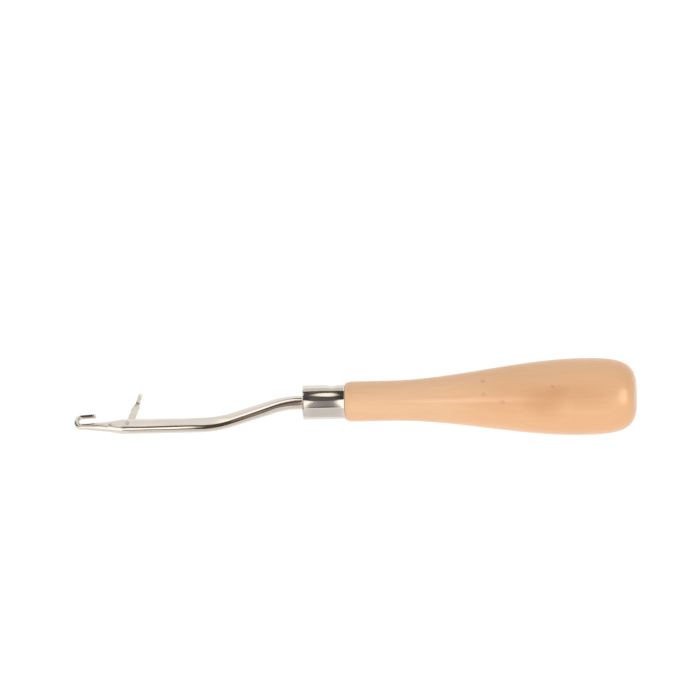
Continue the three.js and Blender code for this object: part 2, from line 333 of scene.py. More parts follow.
class NodePen:
    """Short way to write the nodes of a material or a world."""

    def __init__(self, owner: bpy.types.Material | bpy.types.World) -> None:
        """Empties the owner's node tree.

        Args:
            owner: The material or world whose nodes are written.
        """
        owner.use_nodes = True
        self.tree = owner.node_tree
        self.tree.nodes.clear()

    def add(
        self, kind: str, inputs: Mapping[str | int, Any] | None = None, **settings: Any
    ) -> bpy.types.Node:
        """Adds one node.

        Args:
            kind: The node's type, without its ShaderNode prefix.
            inputs: Values or output sockets for its inputs, by name or number.
            settings: Properties of the node.

        Returns:
            The node.
        """
        node = self.tree.nodes.new("ShaderNode" + kind)
        for name, value in settings.items():
            setattr(node, name, value)
        for name, value in (inputs or {}).items():
            if isinstance(value, bpy.types.NodeSocket):
                self.tree.links.new(value, node.inputs[name])
            else:
                node.inputs[name].default_value = value
        return node

    def math(self, operation: str, *values: Any, clamp: bool = False) -> bpy.types.NodeSocket:
        """Returns the output of a Math node of the given operation and values."""
        inputs = dict(enumerate(values))
        return self.add("Math", inputs, operation=operation, use_clamp=clamp).outputs[0]

    def mix_colour(self, share: Any, low: Any, high: Any, blend: str = "MIX") -> bpy.types.NodeSocket:
        """Mixes two colours.

        Args:
            share: Share of the second colour, a number or a socket.
            low: First colour or socket.
            high: Second colour or socket.
            blend: Blend type of the Mix node.

        Returns:
            The mixed colour's socket.
        """
        node = self.add("Mix", data_type="RGBA", blend_type=blend)
        for number, value in ((0, share), (6, low), (7, high)):
            if isinstance(value, bpy.types.NodeSocket):
                self.tree.links.new(value, node.inputs[number])
            else:
                node.inputs[number].default_value = (*value, 1) if number else value
        return node.outputs[2]

    def tool_place(self, tool: ToolFrame) -> bpy.types.NodeSocket:
        """Returns Object coordinates turned into the tool's frame, in metres."""
        place = self.add("TexCoord").outputs["Object"]
        settings = {"Vector": place, "Location": tool.origin, "Rotation": tool.turn().to_euler()}
        return self.add("Mapping", settings, vector_type="TEXTURE").outputs[0]

    def stretched(self, place: bpy.types.NodeSocket, scale: Sizes) -> bpy.types.NodeSocket:
        """Returns a place with each of its axes scaled."""
        return self.add("Mapping", {"Vector": place, "Scale": scale}).outputs[0]

    def noise(self, place: bpy.types.NodeSocket, scale: float, detail: float) -> bpy.types.NodeSocket:
        """Returns the value of a noise texture at a place."""
        inputs = {"Vector": place, "Scale": scale, "Detail": detail}
        return self.add("TexNoise", inputs).outputs[0]

    def spread(self, value: Any, low: float, high: float, to_low: float, to_high: float) -> Any:
        """Returns a value mapped from one range to another, held at its ends."""
        inputs = {0: value, 1: low, 2: high, 3: to_low, 4: to_high}
        return self.add("MapRange", inputs, clamp=True).outputs[0]

    def spot(
        self,
        place: bpy.types.NodeSocket,
        colour: bpy.types.NodeSocket,
        tint: Colour,
        centre: Vector,
        sizes: Sizes,
        strength: float,
        softness: float,
    ) -> bpy.types.NodeSocket:
        """Adds one ragged spot to a colour.

        Args:
            place: Place in the tool's frame, in metres.
            colour: The colour so far.
            tint: Colour of the spot.
            centre: Its centre in the tool's frame, in millimetres.
            sizes: Half its sizes along the frame's axes, in millimetres.
            strength: Its share of the colour in its middle.
            softness: How ragged its edge is.

        Returns:
            The colour with the spot.
        """
        scale = [size * METRE for size in sizes]
        inputs = {"Vector": place, "Location": centre * METRE, "Scale": scale}
        local = self.add("Mapping", inputs, vector_type="TEXTURE").outputs[0]
        ragged = self.math("SUBTRACT", self.noise(local, 1.6, 3), 0.5)
        distance = self.add("VectorMath", {0: local}, operation="LENGTH").outputs["Value"]
        reach = self.math("ADD", distance, self.math("MULTIPLY", ragged, softness))
        return self.mix_colour(self.spread(reach, 0.25, 1.0, strength, 0), colour, tint)


@dataclass(frozen=True)
class WoodMark:
    """A stain or speck in the wood.

    Attributes:
        along: Its distance from the shoulder.
        turn: Its angle from the side that faces up, in degrees towards the latch's side.
        half_length: Half its size along the handle.
        half_width: Half its size round the handle.
        strength: How strongly it colours the wood.
    """

    along: float
    turn: float
    half_length: float
    half_width: float
    strength: float


@dataclass(frozen=True)
class VarnishedWood:
    """Pale, close-grained wood under clear varnish, warmer towards the butt.

    The warmer tone and the end grain come in between two distances from the shoulder. Each scale
    is how fine a pattern is along and across the grain, and each share how much of it shows.
    """

    pale: Colour = (0.88, 0.548, 0.318)
    deep: Colour = (0.78, 0.425, 0.215)
    stain: Colour = (0.66, 0.315, 0.142)
    fibre: Colour = (0.6, 0.29, 0.14)
    speck: Colour = (0.42, 0.2, 0.09)
    warm: Colour = (0.985, 0.925, 0.845)
    warm_start: float = 26.0
    warm_full: float = 48.0
    end_grain: Colour = (0.8, 0.44, 0.17)
    end_start: float = 79.0
    end_full: float = 84.8
    roughness: float = 0.46
    coat: float = 0.55
    coat_roughness: float = 0.16
    specular: float = 0.3
    drift_scale: Sizes = (20, 95, 95)
    drift_share: float = 0.55
    streak_scale: Sizes = (55, 900, 900)
    streak_share: float = 0.22
    fibre_scale: Sizes = (300, 3800, 3800)
    fibre_share: float = 0.16
    warm_share: float = 0.85
    end_share: float = 0.45
    stain_softness: float = 0.5
    speck_softness: float = 0.15
    bump: float = 0.08
    bump_height: float = 0.00005

    def material(
        self,
        tool: ToolFrame,
        marks: Sequence[WoodMark],
        specks: Sequence[WoodMark],
        place_of: Callable[[WoodMark], Vector],
    ) -> bpy.types.Material:
        """Makes the wood's material.

        Args:
            tool: The tool's frame.
            marks: Broad stains.
            specks: Tiny dark specks.
            place_of: Gives the place of a mark in the tool's frame, in millimetres.

        Returns:
            The material.
        """
        made = bpy.data.materials.new("varnished_wood")
        pen = NodePen(made)
        place = pen.tool_place(tool)
        drift = pen.noise(pen.stretched(place, self.drift_scale), 1.0, 3)
        colour = pen.mix_colour(pen.spread(drift, 0.36, 0.68, 0, self.drift_share), self.pale, self.deep)
        streaks = pen.noise(pen.stretched(place, self.streak_scale), 1.0, 4)
        colour = pen.mix_colour(pen.spread(streaks, 0.45, 0.75, 0, self.streak_share), colour, self.deep)
        fibres = pen.noise(pen.stretched(place, self.fibre_scale), 1.0, 2)
        colour = pen.mix_colour(pen.spread(fibres, 0.6, 0.72, 0, self.fibre_share), colour, self.fibre)
        along = pen.add("SeparateXYZ", {0: place}).outputs[0]
        warm = pen.spread(along, self.warm_start * METRE, self.warm_full * METRE, 0, self.warm_share)
        colour = pen.mix_colour(warm, colour, self.warm, "MULTIPLY")
        end = pen.spread(along, self.end_start * METRE, self.end_full * METRE, 0, self.end_share)
        colour = pen.mix_colour(end, colour, self.end_grain)
        tinted = [(mark, self.stain, self.stain_softness) for mark in marks]
        tinted += [(mark, self.speck, self.speck_softness) for mark in specks]
        for mark, tint, softness in tinted:
            sizes = (mark.half_length, mark.half_width, mark.half_width)
            colour = pen.spot(place, colour, tint, place_of(mark), sizes, mark.strength, softness)
        height = pen.math("ADD", streaks, pen.math("MULTIPLY", fibres, 0.6))
        bump = pen.add("Bump", {"Strength": self.bump, "Distance": self.bump_height, "Height": height})
        shader = pen.add(
            "BsdfPrincipled",
            {
                "Base Color": colour,
                "Roughness": pen.spread(streaks, 0.3, 0.7, self.roughness - 0.05, self.roughness + 0.06),
                "Coat Weight": self.coat,
                "Coat Roughness": self.coat_roughness,
                "Specular IOR Level": self.specular,
                "Normal": bump.outputs[0],
            },
        )
        pen.add("OutputMaterial", {"Surface": shader.outputs[0]})
        return made


@dataclass(frozen=True)
class PaintedShadeSpot:
    """A dark spot of painted shade on metal.

    Attributes:
        centre: Its centre in the tool's frame, in millimetres.
        radius: Its radius.
        strength: Its share of the metal's colour in its middle.
    """

    centre: Vector
    radius: float
    strength: float


@dataclass(frozen=True)
class BrightMetal:
    """Polished or plated steel with faint lines along the tool."""

    name: str
    colour: Colour
    worn: Colour
    roughness: float
    roughness_spread: float
    line_bump: float
    # Colour of the painted shade spots, which darken the metal where it is shaded.
    painted_shade: Colour = (0.16, 0.11, 0.085)
    painted_shade_softness: float = 0.5
    line_scale: Sizes = (130, 5200, 5200)
    line_height: float = 0.00001
    cloud_scale: Sizes = (160, 420, 420)

    def material(self, tool: ToolFrame, spots: Sequence[PaintedShadeSpot] = ()) -> bpy.types.Material:
        """Makes the metal's material.

        Args:
            tool: The tool's frame.
            spots: Spots of painted shade.

        Returns:
            The material.
        """
        made = bpy.data.materials.new(self.name)
        pen = NodePen(made)
        place = pen.tool_place(tool)
        lines = pen.noise(pen.stretched(place, self.line_scale), 1.0, 3)
        clouds = pen.noise(pen.stretched(place, self.cloud_scale), 1.0, 3)
        colour = pen.mix_colour(pen.spread(clouds, 0.4, 0.7, 0, 0.6), self.colour, self.worn)
        # Each spot is painted shade, not a real mark on the metal.
        for spot in spots:
            sizes = (spot.radius, spot.radius, spot.radius)
            colour = pen.spot(
                place, colour, self.painted_shade, spot.centre, sizes, spot.strength, self.painted_shade_softness
            )
        low = self.roughness - self.roughness_spread
        high = self.roughness + self.roughness_spread
        relief = {"Strength": self.line_bump, "Distance": self.line_height, "Height": lines}
        bump = pen.add("Bump", relief)
        shader = pen.add(
            "BsdfPrincipled",
            {
                "Base Color": colour,
                "Metallic": 1.0,
                "Roughness": pen.spread(clouds, 0.3, 0.7, low, high),
                "Normal": bump.outputs[0],
            },
        )
        pen.add("OutputMaterial", {"Surface": shader.outputs[0]})
        return made


@dataclass
class TurnedHandle:
    """Wooden handle: a neck, a swell to the belly, and a rounded butt."""

    length: float = 84.8
    neck_radius: float = 5.85
    neck_length: float = 12.5
    belly_radius: float = 11.2
    belly_before_butt: float = 15.8
    butt_flat_radius: float = 3.0
    butt_edge_length: float = 6.1
    butt_edge_depth: float = 7.6
    shoulder_edge_length: float = 2.2
    shoulder_edge_depth: float = 0.5
    tenon_radius: float = 4.5
    tenon_length: float = 11.75
    tenon_edge: float = 0.75
    bore_radius: float = 2.08
    bore_end: float = 35.5
    swell_steps: int = 70
    butt_steps: int = 26
    shoulder_steps: int = 6
    sides: int = 144
    roll: float = -9.5
    finish: VarnishedWood = VarnishedWood()
    label: PieceLabel = PieceLabel("turned_handle", "handle", Body.HOOK, Slot.WOOD)
    stains: Sequence[WoodMark] = (
        WoodMark(56.0, 8, 32.0, 7.5, 0.3),
        WoodMark(58.0, -1, 8.5, 4.8, 0.55),
        WoodMark(58.5, -20, 7.5, 5.0, 0.35),
        WoodMark(62.5, 9, 5.0, 2.4, 0.45),
        WoodMark(70.0, 1, 13.0, 4.8, 0.45),
    )
    specks: Sequence[WoodMark] = (
        WoodMark(40.6, 36.5, 1.0, 0.8, 0.36),
        WoodMark(40.8, 9.4, 0.95, 0.75, 0.28),
        WoodMark(46.4, -6.4, 1.15, 0.9, 0.32),
        WoodMark(61.1, 16.8, 0.65, 0.5, 0.4),
    )

    def radius_at(self, along: float) -> float:
        """Returns the handle's radius at a distance from the shoulder, up to the belly."""
        share = smooth_share(along, self.neck_length, self.length - self.belly_before_butt)
        return mixed(self.neck_radius, self.belly_radius, share)

    def profile(self) -> list[Vector]:
        """Returns the profile from the bottom of the bore, over the tenon, to the butt."""
        face = -self.tenon_length
        shoulder = [
            Vector((0, self.neck_radius - self.shoulder_edge_depth)),
            Vector((self.shoulder_edge_length / 3, self.neck_radius)),
            Vector((self.shoulder_edge_length, self.neck_radius)),
        ]
        points = [
            Vector((self.bore_end, 0)),
            Vector((self.bore_end, self.bore_radius)),
            Vector((face, self.bore_radius)),
            Vector((face, self.tenon_radius - self.tenon_edge)),
            Vector((face + self.tenon_edge, self.tenon_radius)),
            Vector((0, self.tenon_radius)),
        ]
        points += curve_points(shoulder, self.shoulder_steps)
        belly = self.length - self.belly_before_butt
        for i in range(1, self.swell_steps + 1):
            along = mixed(self.shoulder_edge_length, belly, i / self.swell_steps)
            points.append(Vector((along, self.radius_at(along))))
        butt = [
            Vector((belly, self.belly_radius)),
            Vector((self.length - self.butt_edge_length, self.belly_radius)),
            Vector((self.length, self.butt_flat_radius + self.butt_edge_depth)),
            Vector((self.length, self.butt_flat_radius)),
        ]
        points += curve_points(butt, self.butt_steps)[1:]
        points.append(Vector((self.length, 0)))
        return points

    def mark_place(self, mark: WoodMark) -> Vector:
        """Returns the centre of a mark on the handle's surface."""
        angle = math.radians(mark.turn + self.roll)
        radius = self.radius_at(mark.along)
        return Vector((mark.along, radius * math.sin(angle), radius * math.cos(angle)))

    def build(self, tool: ToolFrame) -> None:
        """Builds and dresses the handle."""
        material = self.finish.material(tool, self.stains, self.specks, self.mark_place)
        finish_piece(turned(self.profile(), self.sides), self.label, tool, material)


@dataclass
class FerruleCup:
    """Drawn metal cup with a rounded front edge, punched once to hold the handle."""

    length: float = 12.5
    radius: float = 5.03
    wall: float = 0.45
    edge_radius: float = 0.25
    hole_radius: float = 2.08
    hole_edge: float = 0.15
    rim_gap: float = 0.06
    rim_roll: float = 0.16
    hole_steps: int = 4
    edge_steps: int = 12
    rim_steps: int = 5
    length_steps: int = 40
    sides: int = 160
    dent_behind_shoulder: float = -3.95
    dent_turn: float = 86.0
    dent_depth: float = 0.36
    dent_length: float = 1.35
    dent_width: float = 2.1
    finish: BrightMetal = BrightMetal(
        "ferrule_plate", (0.72, 0.675, 0.61), (0.68, 0.63, 0.56), 0.1, 0.03, 0.05
    )
    label: PieceLabel = PieceLabel("ferrule_cup", "ferrule", Body.HOOK, Slot.FERRULE)

    def profile(self) -> list[Vector]:
        """Returns the closed profile of the cup's wall."""
        front = -self.length
        rear = -self.rim_gap
        inner = self.radius - self.wall
        centre = Vector((front + self.edge_radius, self.radius - self.edge_radius))
        hole = Vector((front + self.hole_edge, self.hole_radius + self.hole_edge))
        rim = Vector((rear - self.rim_roll, self.radius - self.rim_roll))
        points = arc_points(hole, self.hole_edge, 270, 180, self.hole_steps)
        points += arc_points(centre, self.edge_radius, 180, 90, self.edge_steps)
        for i in range(1, self.length_steps):
            along = mixed(centre.x, rim.x, i / self.length_steps)
            points.append(Vector((along, self.radius)))
        points += arc_points(rim, self.rim_roll, 90, 0, self.rim_steps)
        points.append(Vector((rear, inner)))
        for i in range(1, self.length_steps):
            along = mixed(rear, centre.x, i / self.length_steps)
            points.append(Vector((along, inner)))
        points += arc_points(centre, self.edge_radius - self.wall, 90, 180, self.edge_steps)
        points.append(Vector((front + self.wall, self.hole_radius)))
        points.append(points[0].copy())
        return points

    def punch(self, mesh: BMesh, roll: float) -> None:
        """Presses the punch mark into the wall.

        Args:
            mesh: The cup.
            roll: Angle of the side that faces up from the tool's Z axis, in degrees.
        """
        angle = math.radians(self.dent_turn + roll)
        outward = Vector((0, math.sin(angle), math.cos(angle)))
        centre = outward * self.radius + Vector((self.dent_behind_shoulder, 0, 0))
        for vert in mesh.verts:
            offset = vert.co - centre
            lengthwise = offset.x / self.dent_length
            sideways = (offset - Vector((offset.x, 0, 0))).length / self.dent_width
            depth = self.dent_depth * math.exp(-(lengthwise**2) - sideways**2)
            vert.co -= outward * depth

    def build(self, tool: ToolFrame, roll: float) -> None:
        """Builds and dresses the ferrule."""
        mesh = turned(self.profile(), self.sides)
        self.punch(mesh, roll)
        finish_piece(mesh, self.label, tool, self.finish.material(tool))


@dataclass(frozen=True)
class Stretch:
    """A straight or an evenly bent stretch of the shaft's centre line.

    Attributes:
        start: Its first point.
        heading: Direction at its start, in radians from X.
        length: Its length.
        turn: Angle by which the heading changes along it, in radians.
    """

    start: Vector
    heading: float
    length: float
    turn: float

    def at(self, distance: float) -> tuple[Vector, Vector]:
        """Returns the point and the direction at a distance along the stretch."""
        angle = self.heading + self.turn * distance / self.length
        direction = Vector((math.cos(angle), math.sin(angle)))
        if abs(self.turn) < LEAST_TURN:
            return self.start + direction * distance, direction
        radius = self.length / self.turn
        left = Vector((-math.sin(self.heading), math.cos(self.heading)))
        centre = self.start + left * radius
        out = Vector((math.sin(angle), -math.cos(angle)))
        return centre + out * radius, direction


@dataclass(frozen=True)
class Section:
    """Cross-section of the shaft: half sizes, and the squareness of its upper half."""

    height: float
    width: float
    squareness: float = 2.0

    def toward(self, other: "Section", share: float) -> "Section":
        """Returns the section at a share of the way to another one."""
        return Section(
            mixed(self.height, other.height, share),
            mixed(self.width, other.width, share),
            mixed(self.squareness, other.squareness, share),
        )

    def top_at(self, across: float) -> float:
        """Returns the height of the upper side at a place across it."""
        share = min(abs(across) / self.width, 1.0)
        return self.height * (1 - share**self.squareness) ** (1 / self.squareness)

    def rim_at(self, angle: float) -> Vector:
        """Returns the point of the outline at an angle, as (across, up)."""
        power = 2 / self.squareness if math.sin(angle) > 0 else 1.0
        across = math.copysign(abs(math.cos(angle)) ** power, math.cos(angle))
        up = math.copysign(abs(math.sin(angle)) ** power, math.sin(angle))
        return Vector((self.width * across, self.height * up))


@dataclass
class HookShaft:
    """Bent wire from the tang in the handle to the small hook, with the latch's slot."""

    wire: Section = Section(2.0, 2.0)
    stem: Section = Section(2.05, 1.95, 9.0)
    shoulder: Section = Section(1.46, 1.46, 4.0)
    nose: Section = Section(0.93, 0.93)
    back: Section = Section(0.85, 0.76)
    arm: Section = Section(0.59, 0.59)
    ball_radius: float = 0.685
    tang_length: float = 35.0
    tang_chamfer: float = 0.4
    ferrule_length: float = 12.5
    upper_bend_ahead: float = 5.3
    upper_bend_radius: float = 24.5
    bend_run: float = 20.4
    bend_drop: float = 6.08
    lower_bend_radius: float = 31.0
    stem_length: float = 27.3
    rise_radius: float = 30.0
    shoulder_taper: float = 4.1
    nose_length: float = 10.6
    nose_rise: float = 0.42
    back_ahead_of_taper: float = 13.35
    corner_bend: float = 1.1
    back_straight: float = 0.05
    hook_height: float = 2.69
    arm_length: float = 5.1
    arm_rise: float = 0.28
    pivot_behind_taper: float = 1.65
    pivot_below_top: float = 1.04
    pivot_hole_radius: float = 0.54
    slot_half_width: float = 0.55
    slot_depth: float = 2.6
    slot_behind_pivot: float = 9.5
    slot_ahead_of_pivot: float = 5.4
    slot_floor_ahead_of_pivot: float = 1.4
    slot_cutter_radius: float = 6.0
    slot_edge: float = 0.07
    slot_width_share: float = 0.6
    ring_step: float = 0.25
    least_ring_gap: float = 0.02
    ball_steps: int = 16
    bend_step: float = math.radians(5)
    rim_points: int = 54
    floor_points: int = 7
    finish: BrightMetal = BrightMetal(
        "bright_steel", (0.71, 0.66, 0.6), (0.68, 0.63, 0.565), 0.11, 0.02, 0.02
    )
    label: PieceLabel = PieceLabel("bent_shaft", "hook_shaft", Body.HOOK, Slot.SHAFT)
    stretches: list[Stretch] = field(default_factory=list)

    def __post_init__(self) -> None:
        """Works out the corners of the centre line and its stretches."""
        upper = Vector((-self.ferrule_length - self.upper_bend_ahead, 0))
        self.lower = upper + Vector((-self.bend_run, -self.bend_drop))
        self.taper = self.lower + Vector((-self.stem_length, 0))
        corner = self.taper + Vector((-self.back_ahead_of_taper, self.nose_rise))
        crown = corner + Vector((0, self.hook_height))
        self.tip = crown + Vector((self.arm_length, self.arm_rise))
        crown_radius = self.hook_height - self.back_straight - self.corner_bend
        bends = [
            (upper, self.upper_bend_radius),
            (self.lower, self.lower_bend_radius),
            (self.taper, self.rise_radius),
            (corner, self.corner_bend),
            (crown, crown_radius),
        ]
        self.top = self.lower.y + self.stem.height
        self.pivot = Vector((self.taper.x + self.pivot_behind_taper, self.top - self.pivot_below_top))
        targets = [point for point, _ in bends[1:]] + [self.tip]
        end = Vector((self.tang_length, 0))
        for (point, radius), target in zip(bends, targets):
            inward = (point - end).normalized()
            onward = (target - point).normalized()
            turn = math.atan2(inward.x * onward.y - inward.y * onward.x, inward.dot(onward))
            start = point - inward * radius * math.tan(abs(turn) / 2)
            heading = math.atan2(inward.y, inward.x)
            self.stretches.append(Stretch(end, heading, (start - end).length, 0))
            self.stretches.append(Stretch(start, heading, radius * abs(turn), turn))
            end = self.stretches[-1].at(radius * abs(turn))[0]
        last = self.tip - end
        self.stretches.append(Stretch(end, math.atan2(last.y, last.x), last.length, 0))

    def ends(self) -> list[float]:
        """Returns the distance along the centre line at which each stretch ends."""
        total = 0.0
        found = []
        for stretch in self.stretches:
            total += stretch.length
            found.append(total)
        return found

    def sections(self) -> list[tuple[float, Section]]:
        """Returns the sections and their distances along the centre line."""
        _, _, incline, stem, stem_end, rise, nose, corner, _, crown, tip = self.ends()
        taper = (stem_end + rise) / 2
        return [
            (0, self.wire),
            (incline, self.wire),
            (stem, self.stem),
            (taper, self.stem),
            (taper + self.shoulder_taper, self.shoulder),
            (taper + self.nose_length, self.nose),
            (max(nose, taper + self.nose_length) + self.corner_bend / 2, self.back),
            (corner, self.back),
            (crown, self.arm),
            (tip, self.arm),
        ]

    def section_at(self, distance: float) -> Section:
        """Returns the section at a distance along the centre line."""
        sections = self.sections()
        for (low, before), (high, after) in zip(sections, sections[1:]):
            if distance <= high:
                return before.toward(after, max(distance - low, 0) / (high - low))
        return sections[-1][1]

    def place_at(self, distance: float) -> tuple[Vector, Vector]:
        """Returns the point and the direction of the centre line at a distance."""
        start = 0.0
        for stretch, end in zip(self.stretches, self.ends()):
            if distance <= end:
                return stretch.at(distance - start)
            start = end
        last = self.stretches[-1]
        return last.at(distance - start + last.length)

    def distances(self) -> list[float]:
        """Returns the distances at which the shaft has a ring, up to its tip."""
        found = {at for at, _ in self.sections()} | {self.tang_chamfer}
        start = 0.0
        for stretch, end in zip(self.stretches, self.ends()):
            turns = math.ceil(abs(stretch.turn) / self.bend_step)
            steps = max(turns, math.ceil(stretch.length / self.ring_step))
            found |= {mixed(start, end, i / steps) for i in range(steps + 1)}
            start = end
        ordered = sorted(found)
        return [a for a, b in zip(ordered, ordered[1:] + [math.inf]) if b - a > self.least_ring_gap]

    def slot_floor(self, along: float) -> float:
        """Returns the height of the slot's floor at a place along the tool."""
        front = self.pivot.x - self.slot_ahead_of_pivot
        flat = self.pivot.x - self.slot_floor_ahead_of_pivot
        back = self.pivot.x + self.slot_behind_pivot
        reach = self.slot_cutter_radius
        rise = math.acos(1 - self.slot_depth / reach)
        arc = back - reach * math.sin(rise)
        if along < front or along > back:
            return math.inf
        if along < flat:
            return self.top - self.slot_depth * (along - front) / (flat - front)
        if along > arc:
            lift = reach - math.sqrt(reach**2 - (along - arc) ** 2)
            return self.top - self.slot_depth + lift
        return self.top - self.slot_depth

    def ring(self, distance: float) -> list[Vector]:
        """Returns one ring of the shaft, with the slot's walls and floor on its upper side.

        Args:
            distance: Distance of the ring along the centre line.

        Returns:
            The ring's points in the tool's frame.
        """
        centre, direction = self.place_at(distance)
        section = self.section_at(distance)
        half = min(self.slot_half_width, section.width * self.slot_width_share)
        start = self.rim_start(section, half + self.slot_edge)
        steps = self.rim_points - 1
        outline = [
            section.rim_at(mixed(start, -math.pi - start, i / steps)) for i in range(steps + 1)
        ]
        top = section.top_at(half)
        depth = max(top - (self.slot_floor(centre.x) - centre.y), 0)
        edge = min(self.slot_edge, depth)
        wall = [Vector((-half, top - edge)), Vector((-half, mixed(top - edge, top - depth, 0.5)))]
        floor = []
        for i in range(self.floor_points):
            across = mixed(-half, half, i / (self.floor_points - 1))
            roof = section.top_at(across)
            floor.append(Vector((across, min(roof, top - depth) if depth else roof)))
        mirrored = [Vector((-point.x, point.y)) for point in reversed(wall)]
        points = outline + wall + floor + mirrored
        side = Vector((direction.y, -direction.x))
        return [Vector((*(centre + side * p.y), p.x)) for p in points]

    def rim_start(self, section: Section, across: float) -> float:
        """Returns the angle at which a section's outline is at a place across it."""
        share = min(across / section.width, 1.0)
        return math.acos(share ** (section.squareness / 2))

    def rings(self) -> list[list[Vector]]:
        """Returns the shaft's rings from the tang's end to the pole of the ball."""
        rings = []
        for distance in self.distances():
            ring = self.ring(distance)
            if distance < self.tang_chamfer:
                centre = Vector((*self.place_at(distance)[0], 0))
                share = 1 - self.tang_chamfer / self.wire.width
                ring = [centre + (point - centre) * share for point in ring]
            rings.append(ring)
        return rings[:-1] + self.ball_rings(rings[-2])

    def ball_rings(self, joining: Sequence[Vector]) -> list[list[Vector]]:
        """Returns the rings of the ball at the hook's tip.

        Args:
            joining: The last ring of the arm, whose points set the directions of the ball's.

        Returns:
            The ball's rings from its neck to its pole.
        """
        _, direction = self.place_at(self.ends()[-1])
        axis = Vector((*direction, 0))
        centre = Vector((*self.tip, 0))
        outward = []
        for point in joining:
            offset = point - centre
            outward.append((offset - axis * offset.dot(axis)).normalized())
        neck = math.degrees(math.acos(self.arm.height / self.ball_radius))
        rings = []
        for i in range(self.ball_steps + 1):
            angle = math.radians(mixed(-neck, 90, i / self.ball_steps))
            middle = centre + axis * self.ball_radius * math.sin(angle)
            rings.append([middle + way * self.ball_radius * math.cos(angle) for way in outward])
        return rings

    def build(self, tool: ToolFrame) -> None:
        """Builds and dresses the shaft."""
        mesh = swept(self.rings())
        mesh = drilled(mesh, self.pivot_hole_radius, self.pivot, 3 * self.stem.width)
        finish_piece(mesh, self.label, tool, self.finish.material(tool))


@dataclass
class PivotRivet:
    """Rivet of the latch, its ends headed over a little into the cheeks."""

    radius: float = 0.5
    length: float = 3.9
    head_radius: float = 0.64
    head_seat: float = 0.01
    head_rise: float = 0.08
    dome_steps: int = 10
    sides: int = 48
    finish: BrightMetal = BrightMetal(
        "rivet_steel", (0.6, 0.56, 0.51), (0.5, 0.46, 0.42), 0.28, 0.05, 0.1
    )
    label: PieceLabel = PieceLabel("pivot_rivet", "latch_rivet", Body.HOOK, Slot.RIVET)

    def build(self, tool: ToolFrame, pivot: Vector) -> None:
        """Builds and dresses the rivet.

        Args:
            tool: The tool's frame.
            pivot: Point of the rivet's axis in the plane of the bends.
        """
        seat = self.length / 2 + self.head_seat
        end = []
        for i in range(self.dome_steps + 1):
            angle = math.radians(90 * i / self.dome_steps)
            rise = self.head_rise * math.cos(angle)
            end.append(Vector((-seat - rise, self.head_radius * math.sin(angle))))
        end.append(Vector((-seat, self.radius)))
        profile = end + [Vector((-point.x, point.y)) for point in reversed(end)]
        mesh = turned(profile, self.sides)
        stand = Matrix.Translation((*pivot, 0)) @ Matrix.Rotation(math.radians(90), 4, "Y")
        bmesh.ops.transform(mesh, matrix=stand, verts=mesh.verts)
        finish_piece(mesh, self.label, tool, self.finish.material(tool))


